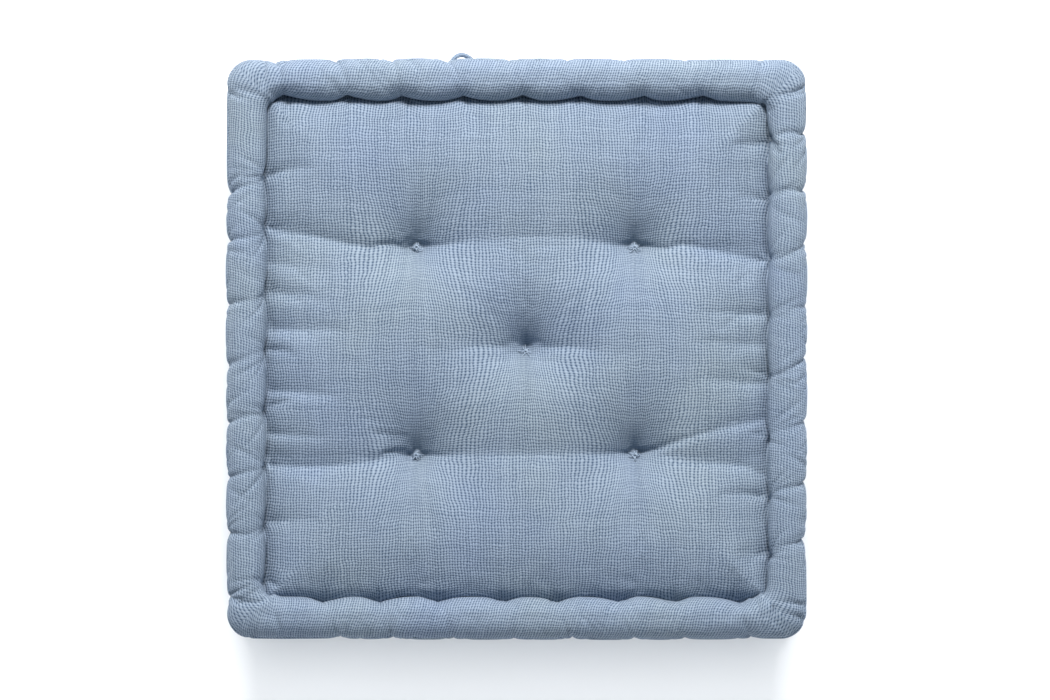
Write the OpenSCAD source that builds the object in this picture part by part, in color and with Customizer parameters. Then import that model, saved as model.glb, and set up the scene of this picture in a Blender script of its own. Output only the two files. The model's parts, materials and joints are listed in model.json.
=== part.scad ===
// Square floor cushion of the hand-tufted mattress kind: two panels and a band of woven cotton,
// stuffed, drawn in by five tufts, with a stuffed and stitched roll along its top and bottom edges
// and a thin cord handle on the back side. It lies flat: +Z is up, +Y is the side with the handle,
// and the origin is on the floor under the centre of the cushion.

/* [Cushion] */
// Length of each side, over the edge rolls
side = 450; // [420:10:500]
// Height, over the edge rolls
height = 100; // [94:1:130]
// Radius of the corners, seen from above
corner_r = 20; // [17:1:26]
// Thickness of the woven cloth
cloth_t = 1; // [0.8:0.1:1.2]

/* [Edge rolls] */
// Radius of an edge roll, over its cloth
roll_r = 15.5; // [15:0.5:16.5]
// How far the weight of the cushion flattens the bottom roll
roll_flat = 2; // [1:0.5:3]
// Number of stitches through the roll on each side
stitch_count = 8; // [5:1:9]
// Distance from one stitch to the next
stitch_pitch = 45.6; // [30:0.2:46]
// Where the middle of the stitches is on the right, back, left and front side, counter-clockwise
stitch_shift = [1, 17, 22, 9]; // [0:1:24]
// How far a stitch leans counter-clockwise from the panel to the band
stitch_lean = 17; // [0:1:18]
// Radius of the stitching thread, pulled tight inside the cushion
stitch_r = 0.5; // [0.4:0.1:0.6]

/* [Tufts] */
// Distance between the outer tufts, from left to right
tuft_span_x = 171; // [120:1:190]
// Distance between the outer tufts, from back to front
tuft_span_y = 163; // [120:1:190]
// Where the centre tuft is
tuft_middle = [7, -2]; // [-10:1:10]
// How deep a tuft draws in the top panel
dimple_top = 22; // [12:1:26]
// How deep a tuft draws in the bottom panel
dimple_bottom = 18; // [10:1:22]
// Radius of the hollow round a tuft
dimple_r = 32; // [20:1:40]

/* [Handle] */
// Distance between the two tacks of the handle
handle_span = 108; // [104:1:112]
// Thickness of the handle's cord
handle_d = 3.6; // [3:0.2:4]

/* [Hidden] */
$fn = 48;

cloth_colour = [0.63, 0.71, 0.79];
fibre_colour = [0.93, 0.91, 0.86];
thread_colour = [0.52, 0.61, 0.71];
gap = 0.1;                         // clearance between pieces that lie against each other
beyond = 1;                        // how far a cutting tool reaches past what it cuts
roll_x = side / 2 - roll_r;        // distance of a roll's centreline from the cushion's centre
top_roll_z = height - roll_r;
bottom_roll_z = roll_r - roll_flat;
wall_x = roll_x + 4.5;             // outer face of the band between the rolls
wall_corner_r = 8;
tuck = sqrt(pow(roll_r, 2) - pow(wall_x - roll_x, 2));  // height of a roll over where it meets the wall
groove_x = roll_x - 12.5;          // where the stitches pinch the panel
under_roll = groove_x + 5;         // between the cloth of the groove and that of the band
groove_w = 9;
groove_z = 5;
field_z = height - 7;              // top of the stuffed field between the rolls
seam_angle = 20;                   // the seams run this far round the outside of the rolls
seam_rise = roll_r * sin(seam_angle);
top_seam_z = top_roll_z + seam_rise;
bottom_seam_z = bottom_roll_z - seam_rise;
wadding_t = 20;                    // level at which the wadding layers end and the core begins
stitch_dash = 5;                   // length of thread that lies on the cloth at a stitch's end
stitch_drop = 2.9;                 // how far from a roll its stitches come out of the band
stitch_out = 0.8;                  // how far off the band its dash of thread lies
stitch_room = 0.7;                 // room that the stuffing leaves beside the stitches
top_groove_end = [-15.2, 5.9];     // from the top roll's centreline to its stitches in the groove
bottom_groove_end = [-13.1, -9.7]; // the same at the bottom roll
dash_r = stitch_r + 0.15;          // it is slacker there, so thicker
seam_thread_r = 0.4;
tuft_cord_r = 0.8;
tuft_floor_r = 2.5;                // flat bottom of a tuft's hollow, under its knot
hollow_steps = 6;
knot_r = 2.2;
knot_h = 1.6;
tail_r = 0.5;
tail_l = 3.6;
tail_rise = 3;                     // from a knot to the tips of its thread ends
tack = [10, 0.8, 4];
pin_r = 0.5;                       // bar of thread that the handle's cord turns on
pin_reach = 3.4;                   // from the middle of a tack to a leg of its bar
eye_r = 1.9;                       // looped end of the handle's cord
eye_reach = 2.4;                   // half its width, wider than the cord where they join
hinge_y = wall_x + 3;
hinge_z = height / 2;
cord_sides = 8;

// The handle's cord from its left tack to its right one, as distances along the band from its
// middle, out from the hinge line and up from the hinge line. It bows out beyond the roll near
// its left end, then hangs down against the band.
handle_route = [
    [0, 0, 0], [1, 5, 0.3], [3, 9, 0.6], [6, 11.6, 0], [10, 12.2, -1.5], [14, 11, -4],
    [18, 8.5, -6.5], [22.5, 5.5, -9], [28, 2.8, -12], [35, 1.3, -15], [44, 0.6, -18],
    [54, 0.4, -19.5], [64, 0.5, -20], [74, 0.8, -18.5], [83, 1.2, -16], [91, 1.6, -12.5],
    [98, 1.8, -9], [104, 1.2, -5.5], [107.5, 0.4, -2.5], [108, 0, 0]];

// Unit vector along v.
function unit(v) = v / norm(v);

// Corners of the stuffed body's half section, set inwards by d, and cut back further by room
// where the stitches pass it under the rolls.
function block_outline(d, room) = [
    [0, d], [groove_x - groove_w - d, d], [groove_x - d, groove_z + d],
    [wall_x - d, bottom_roll_z + tuck + d + room], [wall_x - d, top_roll_z - tuck - d - room],
    [groove_x - d, field_z - groove_z - d], [groove_x - groove_w - d, field_z - d],
    [0, field_z - d]];

// Where the four outer tufts are.
function tuft_place(right, back) = [
    tuft_middle[0] + right * tuft_span_x / 2, tuft_middle[1] + back * tuft_span_y / 2];

tuft_places = [tuft_middle, tuft_place(-1, 1), tuft_place(1, 1), tuft_place(-1, -1),
    tuft_place(1, -1)];

// Carries a half section round the four sides, with mitred corners.
module around() {
    for (quarter = [0:3]) rotate(90 * quarter) intersection() {
        linear_extrude(2 * height, center = true) polygon([[0, 0], [side, -side], [side, side]]);
        rotate([90, 0, 0]) linear_extrude(2 * side, center = true) children();
    }
}

// Upright square prism with rounded corners, from z0 to z1.
module rounded_prism(half, r, z0, z1) {
    translate([0, 0, z0]) linear_extrude(z1 - z0) {
        square([2 * half, 2 * (half - r)], center = true);
        square([2 * (half - r), 2 * half], center = true);
        for (x = [-1, 1], y = [-1, 1]) translate([x, y] * (half - r)) circle(r);
    }
}

// Ring of one edge roll, set inwards by d.
module roll(z, d) {
    intersection() {
        around() translate([roll_x, z]) circle(roll_r - d);
        rounded_prism(side / 2 - d, corner_r - d, max(d, z - roll_r), z + roll_r);
    }
}

// Stuffed body between the rolls, set inwards by d.
module block(d, room = 0) {
    intersection() {
        around() polygon(block_outline(d, room));
        rounded_prism(wall_x - d, wall_corner_r - d, -beyond, height);
    }
}

// Half section of the hollow that a tuft makes in a face at height 0, as points from its rim to
// its floor. It is an arc that bulges like the stuffing beside it; d is the depth under the cloth.
function hollow_arc(depth, d) =
    let (middle_x = dimple_r + 4,
        bulge_r = (pow(middle_x - tuft_floor_r, 2) + pow(depth, 2)) / (2 * depth))
    [for (k = [0:hollow_steps])
        let (x = tuft_floor_r + (dimple_r - tuft_floor_r) * pow(1 - k / hollow_steps, 1.5))
        [x, max(-depth - d, sqrt(pow(bulge_r - d, 2) - pow(middle_x - x, 2)) - bulge_r)]];

// The hollows and the hole of one tuft, as one turned shape.
module tuft_cut(d) {
    top_arc = [for (p = hollow_arc(dimple_top, d)) [p[0], field_z + p[1]]];
    bottom_arc = [for (k = [hollow_steps:-1:0]) let (p = hollow_arc(dimple_bottom, d)[k]) [p[0], -p[1]]];
    hole_r = tuft_cord_r + gap;
    rotate_extrude() polygon(concat(
        [[0, field_z + beyond], [dimple_r, field_z + beyond]], top_arc,
        [[hole_r, field_z - dimple_top - d], [hole_r, dimple_bottom + d]], bottom_arc,
        [[dimple_r, -beyond], [0, -beyond]]));
}

module tuft_cuts(d) {
    for (place = tuft_places) translate(place) tuft_cut(d);
}

// The whole outer form, set inwards by d.
module form(d) {
    difference() {
        union() {
            roll(top_roll_z, d);
            roll(bottom_roll_z, d);
            block(d);
        }
        tuft_cuts(d);
    }
}

// Square block from z0 to z1 that marks off a share of the cushion.
module share(half, z0, z1) {
    translate([-half, -half, z0]) cube([2 * half, 2 * half, z1 - z0]);
}

// The cloth inside a share of the cushion, with a hole where each stitch passes.
module cloth() {
    color(cloth_colour) difference() {
        intersection() {
            form(0);
            union() children();
        }
        form(cloth_t);
        stitches(top_stitch(), stitch_r + gap, 0);
        stitches(bottom_stitch(), stitch_r + gap, 0);
    }
}

// A layer of the stuffing between two heights.
module stuffing(z0, z1) {
    color(fibre_colour) difference() {
        intersection() {
            block(cloth_t + gap, stitch_drop + stitch_room);
            share(side, z0, z1);
        }
        tuft_cuts(cloth_t + gap);
    }
}

// Loose fibre of a roll, with room for its seam thread and for the stitches beside the body.
module roll_filling(z, seam_z) {
    color(fibre_colour) difference() {
        roll(z, cloth_t + gap);
        block(-stitch_room);
        seam_ring(z, seam_z, seam_thread_r + gap);
    }
}

// Straight rod of radius r between two points.
module rod(from, to, r) {
    v = to - from;
    translate(from) rotate([0, acos(v[2] / norm(v)), atan2(v[1], v[0])]) cylinder(h = norm(v), r = r);
}

// A stitch's two ends, in the half section: in the groove of the panel, and under the roll.
function top_stitch() = [[roll_x, top_roll_z] + top_groove_end,
    [wall_x + stitch_out, top_roll_z - tuck - stitch_drop]];
function bottom_stitch() = [[roll_x, bottom_roll_z] + bottom_groove_end,
    [wall_x + stitch_out, bottom_roll_z + tuck + stitch_drop]];

// All the stitches of one roll, each with a dash of thread along the edge at both ends.
module stitches(ends, r, dash) {
    for (quarter = [0:3]) rotate(90 * quarter) for (k = [0:stitch_count - 1]) {
        along = stitch_shift[quarter] + stitch_pitch * (k - (stitch_count - 1) / 2);
        inner = [ends[0][0], along, ends[0][1]];
        outer = [ends[1][0], along + stitch_lean, ends[1][1]];
        rod(inner, outer, r);
        if (dash > 0) for (end = [inner, outer])
            rod(end - [0, dash / 2, 0], end + [0, dash / 2, 0], dash_r);
    }
}

// Thread that runs inside the cloth along a seam on the outside of a roll.
module seam_ring(z, seam_z, r) {
    depth = roll_r - cloth_t - gap - seam_thread_r;
    half = roll_x + depth * cos(seam_angle);
    bend = corner_r - (side / 2 - half);
    level = z + depth * sin(seam_angle) * sign(seam_z - z);
    for (quarter = [0:3]) rotate(90 * quarter) translate([0, 0, level]) {
        translate([half, 0, 0]) rotate([90, 0, 0]) cylinder(h = 2 * (half - bend), r = r, center = true);
        translate([half - bend, half - bend, 0]) rotate_extrude(angle = 90) translate([bend, 0]) circle(r);
    }
}

// A tuft: a cord right through, a knot at each end and four loose ends of thread on top.
module tuft(place) {
    top_z = field_z - dimple_top;
    bottom_z = dimple_bottom;
    color(thread_colour) translate(place) {
        translate([0, 0, bottom_z - knot_h]) cylinder(h = top_z - bottom_z + 2 * knot_h, r = tuft_cord_r);
        translate([0, 0, top_z]) cylinder(h = knot_h, r = knot_r);
        translate([0, 0, bottom_z - knot_h]) cylinder(h = knot_h, r = knot_r);
        for (turn = [45:90:315]) rotate(turn)
            rod([0.5, 0, top_z + knot_h - tail_r], [tail_l, 0, top_z + knot_h + tail_rise], tail_r);
    }
}

// Round cord swept along a route, closed at both ends.
module cord(route, d) {
    last = len(route) - 1;
    rings = [for (i = [0:last])
        let (ahead = unit(route[min(i + 1, last)] - route[max(i - 1, 0)]),
            across = unit(cross(ahead, [0, 0, 1])),
            up = cross(across, ahead))
        for (k = [0:cord_sides - 1])
            route[i] + d / 2 * (cos(360 * k / cord_sides) * across + sin(360 * k / cord_sides) * up)];
    walls = [for (i = [0:last - 1], k = [0:cord_sides - 1])
        let (next = (k + 1) % cord_sides)
        [i * cord_sides + k, i * cord_sides + next, (i + 1) * cord_sides + next,
            (i + 1) * cord_sides + k]];
    caps = [[for (k = [cord_sides - 1:-1:0]) k],
        [for (k = [0:cord_sides - 1]) last * cord_sides + k]];
    polyhedron(points = rings, faces = concat(walls, caps), convexity = 6);
}

// Tack of close stitches that holds one end of the handle to the band, with the raised bar of
// thread that the looped end of the cord turns on.
module handle_tack(x) {
    chamfer = 1;
    edge_x = tack[0] / 2;
    edge_z = tack[2] / 2;
    color(thread_colour) translate([x, hinge_y, hinge_z]) {
        translate([0, wall_x + tack[1] - hinge_y, 0]) rotate([90, 0, 0])
            linear_extrude(tack[1]) polygon([
                [-edge_x + chamfer, -edge_z], [edge_x - chamfer, -edge_z],
                [edge_x, -edge_z + chamfer], [edge_x, edge_z - chamfer],
                [edge_x - chamfer, edge_z], [-edge_x + chamfer, edge_z],
                [-edge_x, edge_z - chamfer], [-edge_x, -edge_z + chamfer]]);
        rod([-pin_reach, 0, 0], [pin_reach, 0, 0], pin_r);
        for (leg = [-pin_reach, pin_reach])
            rod([leg, pin_r, 0], [leg, wall_x + tack[1] / 2 - hinge_y, 0], pin_r + gap);
    }
}

// Each panel reaches from the field over its roll to the seam on the roll's outside.
module top_panel() {
    cloth() {
        share(side, top_seam_z, height + beyond);
        share(under_roll, height / 2, height + beyond);
    }
}

module side_band() {
    cloth() difference() {
        share(side, bottom_seam_z, top_seam_z);
        share(under_roll, -beyond, height + beyond);
    }
}

module bottom_panel() {
    cloth() {
        share(side, -beyond, bottom_seam_z);
        share(under_roll, -beyond, height / 2);
    }
}

module top_roll_filling() { roll_filling(top_roll_z, top_seam_z); }

module bottom_roll_filling() { roll_filling(bottom_roll_z, bottom_seam_z); }

module top_wadding() { stuffing(height - wadding_t + gap, height); }

// The core has a channel for the thread of the band's join.
module filling_core() {
    difference() {
        stuffing(wadding_t, height - wadding_t);
        join_thread(seam_thread_r + gap);
    }
}

module bottom_wadding() { stuffing(0, wadding_t - gap); }

module top_roll_stitching() { color(thread_colour) stitches(top_stitch(), stitch_r, stitch_dash); }

module bottom_roll_stitching() { color(thread_colour) stitches(bottom_stitch(), stitch_r, stitch_dash); }

module top_seam_thread() { color(thread_colour) seam_ring(top_roll_z, top_seam_z, seam_thread_r); }

module bottom_seam_thread() {
    color(thread_colour) seam_ring(bottom_roll_z, bottom_seam_z, seam_thread_r);
}

// Upright thread just inside the back of the band, where its ends are joined.
module join_thread(r) {
    join_x = 170;
    from_z = bottom_roll_z + tuck + 2;
    translate([join_x, wall_x - cloth_t - gap - seam_thread_r, from_z])
        cylinder(h = top_roll_z - tuck - 2 - from_z, r = r);
}

module band_join_thread() { color(thread_colour) join_thread(seam_thread_r); }

module tuft_centre() { tuft(tuft_places[0]); }

module tuft_back_left() { tuft(tuft_places[1]); }

module tuft_back_right() { tuft(tuft_places[2]); }

module tuft_front_left() { tuft(tuft_places[3]); }

module tuft_front_right() { tuft(tuft_places[4]); }

// The cord with a looped end round each bar of thread.
module handle_cord() {
    color(cloth_colour) translate([-handle_span / 2, hinge_y, hinge_z]) difference() {
        union() {
            cord([for (p = handle_route) [p[0] * handle_span / 108, p[1], p[2]]], handle_d);
            for (x = [0, handle_span]) rod([x - eye_reach, 0, 0], [x + eye_reach, 0, 0], eye_r);
        }
        for (x = [0, handle_span]) rod([x - pin_reach, 0, 0], [x + pin_reach, 0, 0], pin_r + gap);
    }
}

module handle_tack_left() { handle_tack(-handle_span / 2); }

module handle_tack_right() { handle_tack(handle_span / 2); }

top_panel();
side_band();
bottom_panel();
top_roll_filling();
bottom_roll_filling();
top_wadding();
filling_core();
bottom_wadding();
top_roll_stitching();
bottom_roll_stitching();
top_seam_thread();
bottom_seam_thread();
band_join_thread();
tuft_centre();
tuft_back_left();
tuft_back_right();
tuft_front_left();
tuft_front_right();
handle_cord();
handle_tack_left();
handle_tack_right();
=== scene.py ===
"""Square tufted floor cushion in blue woven cotton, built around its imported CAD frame.

The cloth starts as one closed skin: a top sheet, a band and a bottom sheet on one grid. Its start
form follows the CAD (edge rolls, stuffed field, tufts), and its rest form is the flat cloth that
it was cut from, so the cloth simulation pulls it tight at the stitches and tufts and lets it
pucker where there is more cloth than room. A coarser skin is simulated, and its movement is
carried over to the fine one, which is then cut into its three sewn pieces.
Lengths are in metres, in the frame of the CAD.
"""
import json
import math

import bpy
import numpy as np
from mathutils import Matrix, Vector


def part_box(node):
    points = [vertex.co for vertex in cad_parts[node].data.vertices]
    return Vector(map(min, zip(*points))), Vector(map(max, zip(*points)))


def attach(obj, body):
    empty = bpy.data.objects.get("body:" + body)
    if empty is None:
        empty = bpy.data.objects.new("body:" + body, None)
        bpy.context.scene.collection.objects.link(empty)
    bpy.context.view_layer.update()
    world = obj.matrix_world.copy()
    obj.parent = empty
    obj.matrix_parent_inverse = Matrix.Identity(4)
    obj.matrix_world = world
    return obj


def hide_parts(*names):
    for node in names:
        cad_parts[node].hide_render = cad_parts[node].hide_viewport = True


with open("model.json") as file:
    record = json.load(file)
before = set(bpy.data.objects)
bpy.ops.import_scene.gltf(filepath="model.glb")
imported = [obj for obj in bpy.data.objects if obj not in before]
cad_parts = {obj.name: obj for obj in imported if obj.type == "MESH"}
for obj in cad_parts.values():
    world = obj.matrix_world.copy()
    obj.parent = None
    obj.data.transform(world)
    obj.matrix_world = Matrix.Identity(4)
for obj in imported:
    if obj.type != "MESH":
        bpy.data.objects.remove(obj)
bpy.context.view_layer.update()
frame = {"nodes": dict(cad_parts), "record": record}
scene = bpy.context.scene
MM = 0.001

# ------------ sizes, from the frame
HALF = float(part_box("side_band")[1][0])  # half the side of the cushion, over its rolls
HEIGHT = float(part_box("top_panel")[1][2])
ROLL_R = 15.5 * MM
ROLL_X = HALF - ROLL_R  # a roll's centreline, from the middle
TOP_Z = HEIGHT - ROLL_R  # height of the top roll's centreline
BOTTOM_Z = 13.5 * MM  # the bottom one, which the weight flattens
WALL_X = ROLL_X + 4.5 * MM  # where the band runs between the rolls
CORNER_R = 20 * MM  # of the outline, seen from above
GROOVE_CORNER = 8 * MM  # of the field
WALL_CORNER = 12 * MM  # of the band between the rolls
WALL_BULGE = 6 * MM  # how far the band bulges out there
GROOVE_ANGLE = math.radians(198)  # round the roll, from outside over its top
INNER = 0.8  # a roll's inner reach, against its radius
GROOVE_X = ROLL_X + INNER * ROLL_R * math.cos(GROOVE_ANGLE)  # where the panel meets the roll
SEAM_ANGLE = math.radians(20)  # round the roll too: where panel meets band
TUCK_ANGLE = math.acos((WALL_X - ROLL_X) / ROLL_R)  # where the roll meets the band's wall
WALL_LOW = BOTTOM_Z + ROLL_R * math.sin(TUCK_ANGLE)
WALL_HIGH = TOP_Z - ROLL_R * math.sin(TUCK_ANGLE)

HINGE = np.array(frame["record"]["behaviour"]["joints"][0]["pos_m"], float)  # the handle's

# The cloth as cut: a little more than the form needs, so that it puckers.
FIELD_CUT = 204 * MM  # from a panel's middle to its stitches
PANEL_CUT = FIELD_CUT + ROLL_R * (GROOVE_ANGLE - SEAM_ANGLE)
ROLL_DROP = ROLL_R * (SEAM_ANGLE + TUCK_ANGLE)  # band cloth from a seam to the tuck
BAND_CUT = 2 * ROLL_DROP + WALL_HIGH - WALL_LOW

CELLS = 312  # grid cells along a side
ROWS = 2 * round(BAND_CUT * CELLS / PANEL_CUT / 4)  # grid rows down the band
SIM_SHARE = 2  # the simulation has every second grid line

# ------------ looks and simulation
WEAVE_PITCH = 2.3 * MM  # from one yarn to the next
SEAM_DEPTH = 0.9 * MM  # how far the seams lie below the cloth
KNOT_RISE = 4.9 * MM  # a tuft's thread ends, over its cloth
KNOT_HEIGHT = 1.6 * MM
GROOVE_CUT = 1.8 * MM  # how much deeper the groove itself is
SCALLOP = (4.4 * MM, 1.6 * MM, 4.4 * MM, 1.8 * MM)  # how far each side's roll swells inward
CROWN = ((10 * MM, 5 * MM), (13 * MM, 45 * MM))  # the field's rises, each with its run
TUFT_ROWS = (80 * MM, -83 * MM)  # where the field dips from side to side
ROW_DIP, ROW_REACH = 5 * MM, 36 * MM
HOLLOW, HOLLOW_HALF = 27 * MM, 32 * MM  # a tuft's hollow: depth and reach across
HOLLOW_BEHIND, HOLLOW_FRONT = 36 * MM, 17 * MM  # and its reach behind the tuft and in front
CREASE = 4.6 * MM  # depth of the creases at the stitches
SIDE_PULL = (0.6, 0.95, 0.7, 1.0)  # how strongly each side's stitches crease it
TUFT_DRAW = 0.45  # how strongly a tuft gathers the cloth
WEAVE_DRAW = 0.7  # how much closer its yarns lie there
BIAS = 0.6  # slant of the weave on rolls and band
LOWEST = 0.4 * MM  # of the cloth, over the floor
SIM_FRAMES = 24
PRESSURE = 8.0
MOST_MOVE = 8 * MM  # how far the simulation may move a point
BROAD_ROUNDS = 70  # what this many averagings leave is broad
BROAD_KEPT = 0.3  # share kept of the broad swelling
FABRIC = {
    "quality": 6, "mass": 0.3, "air_damping": 2.0, "pin_stiffness": 1.0,
    "tension_stiffness": 15, "compression_stiffness": 8, "shear_stiffness": 3,
    "bending_stiffness": 0.1, "tension_damping": 5, "compression_damping": 5,
    "shear_damping": 5, "bending_damping": 0.5}
CAMERA_PLACE = (6.6 * MM, -0.8 * MM, HEIGHT + 2.256)
WORLD_LIGHT = 0.13
WORLD_COLOUR = (0.6, 0.9, 1.2)
FLOOR_R, WALL_BEND, WALL_TOP = 4.2, 1.2, 2.6  # the floor and the wall it curves into
ROUND = 96  # points round the floor
LIGHTS = (  # name, place, size in m, power in W
    ("key", (0.05, 1.7, 1.75), (1.2, 0.6), 82),
    ("top", (0.0, 0.2, 3.0), (2.4, 2.4), 4),
    ("background", (0.0, 0.0, 3.2), (3.0, 3.0), 84))

# ------------ stitches and tufts
# The sides are numbered as the grid's: 0 front, 1 right, 2 back, 3 left.
SIDE_ANGLES = np.radians([-90.0, 0.0, 90.0, 180.0])
STITCH_SHIFT = (9 * MM, 1 * MM, 17 * MM, 22 * MM)  # of each side's row of stitches, from its middle
STITCH_PITCH = 45.6 * MM
STITCHES = 8  # on each side of each roll
STITCH_LEAN = 17 * MM  # counter-clockwise, from panel to band
TUFTS = ["tuft_" + place for place in ("centre", "back_left", "back_right", "front_left", "front_right")]


def tuft_point(node):
    """Middle of a tuft, and the heights of its lower and upper knot."""
    low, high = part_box(node)
    return ((low[0] + high[0]) / 2, (low[1] + high[1]) / 2, float(low[2]), float(high[2]))


TUFT_POINTS = {node: tuft_point(node) for node in TUFTS}
rng = np.random.default_rng(7)


def side_axes(side):
    """Outward direction of a side of the cushion, and the counter-clockwise one along it."""
    angle = SIDE_ANGLES[side]
    out = np.array([math.cos(angle), math.sin(angle)])
    return out, np.array([-out[1], out[0]])


def stitch_list():
    """Every stitch of a roll: its side, its place along it, and how hard it was pulled."""
    found = []
    for side, shift in enumerate(STITCH_SHIFT):
        for k in range(STITCHES):
            along = shift + STITCH_PITCH * (k - (STITCHES - 1) / 2)
            pull = SIDE_PULL[side] * rng.uniform(0.65, 1.3)
            found.append((side, along + rng.normal(0, 2 * MM), pull))
    return found


STITCH_LIST = stitch_list()


def wrinkle_list():
    """Small creases of the rolls: fans from both ends of each stitch, and some at the corners.

    Each has its side, the place and the fraction over the roll that it starts from, how far it
    runs along the roll for the whole way over it, its depth and its middle over the roll."""
    found = []
    for side, along, pull in STITCH_LIST:
        for anchor, way in ((0.04, 1), (0.96, -1)):
            for _ in range(4):
                place = along + STITCH_LEAN * anchor + rng.normal(0, 2.5 * MM)
                run = rng.uniform(-45, 85) * MM
                depth = pull * rng.uniform(0.8, 2.1) * MM
                found.append((side, place, anchor, run, depth, anchor + way * rng.uniform(0.12, 0.42)))
    for side in range(4):
        for end in (-1, 1):
            for _ in range(2):
                place, run = end * rng.uniform(186, 203) * MM, rng.uniform(-30, 30) * MM
                found.append((side, place, 0.3, run, rng.uniform(1.6, 3.0) * MM, rng.uniform(0.3, 0.6)))
    return found


WRINKLE_LIST = wrinkle_list()
CREASE_SWAY = rng.uniform(-3, 3, len(STITCH_LIST)) * MM
SWAYING_STITCHES = [(*stitch, sway) for stitch, sway in zip(STITCH_LIST, CREASE_SWAY)]


# ------------ start form of the cloth
def plan(half, corner, side, s):
    """Points of a rounded square, half wide, where s runs from -1 to 1 along each side.

    Also gives each point's distance along its side from the side's middle."""
    straight = half - corner
    length = straight + corner * math.pi / 4
    run = np.abs(s) * length
    turn = np.clip((run - straight) / np.maximum(corner, 1e-9), 0, math.pi / 4)
    along = np.where(run <= straight, run, straight + corner * np.sin(turn)) * np.sign(s)
    out = np.where(run <= straight, half, straight + corner * np.cos(turn))
    angle = SIDE_ANGLES[side]
    x = np.cos(angle) * out - np.sin(angle) * along
    y = np.sin(angle) * out + np.cos(angle) * along
    return x, y, along


def over_roll(angle):
    """How far over a roll an angle is: 0 in the panel's groove, 1 under the roll."""
    return np.clip((GROOVE_ANGLE - angle) / (GROOVE_ANGLE + TUCK_ANGLE), 0, 1)


def strongest(side, along, fraction, marks, strength):
    """The strongest of a roll's marks on a side, at places along it and fractions over it."""
    found = np.zeros(np.broadcast(side, along, fraction).shape)
    for mark_side, *mark in marks:
        here = np.maximum(found, strength(along, fraction, *mark))
        found = np.where(side == mark_side, here, found)
    return found


def pinch(along, fraction, place, pull, sway):
    """How strongly a stitch draws a roll in, from 0 to about 1."""
    off = np.abs(along - place - STITCH_LEAN * fraction - sway * np.sin(2 * math.pi * fraction))
    return pull * (0.6 * np.exp(-off / (1.4 * MM)) + 0.4 * np.exp(-off / (8 * MM)))


def tied_back(along, fraction, place, _):
    """How far a stitch holds a roll back from its panel: 1 at the stitch, 0 well away from it."""
    return np.exp(-((along - place - STITCH_LEAN * fraction) / (11 * MM)) ** 2)


def wrinkle(along, fraction, place, anchor, run, depth, middle):
    """Depth of a small crease of a roll."""
    off = np.abs(along - place - run * (fraction - anchor))
    return depth * np.exp(-off / (1.7 * MM)) * np.exp(-((fraction - middle) / 0.16) ** 2)


def roll_radius(side, along, angle):
    """Radius of a roll at an angle round it: full between the stitches, drawn in at them."""
    fraction = over_roll(angle)
    groove_share = 0.6 * np.exp(-(fraction / 0.11) ** 2)
    outer_share = 0.78 * np.clip(fraction / 0.3 - 1, 0, 1)
    drawn = strongest(side, along, fraction, SWAYING_STITCHES, pinch)
    drawn = drawn * (0.22 + groove_share + outer_share)
    tied = strongest(side, along, fraction, STITCH_LIST, tied_back)
    swell = np.array(SCALLOP)[side] * (1 - tied) * np.clip(1 - fraction / 0.35, 0, 1) ** 0.7
    inner = (1.04 - INNER) * np.clip(1 - fraction / 0.32, 0, 1) ** 0.8
    radius = ROLL_R * (1.04 - inner) + swell - CREASE * drawn
    return radius - strongest(side, along, fraction, WRINKLE_LIST, wrinkle)


def leaning(s, half, angle):
    """Where the cloth lies along a side once the stitches have dragged it counter-clockwise."""
    return s + STITCH_LEAN * over_roll(angle) * (1 - s ** 6) / half


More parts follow.
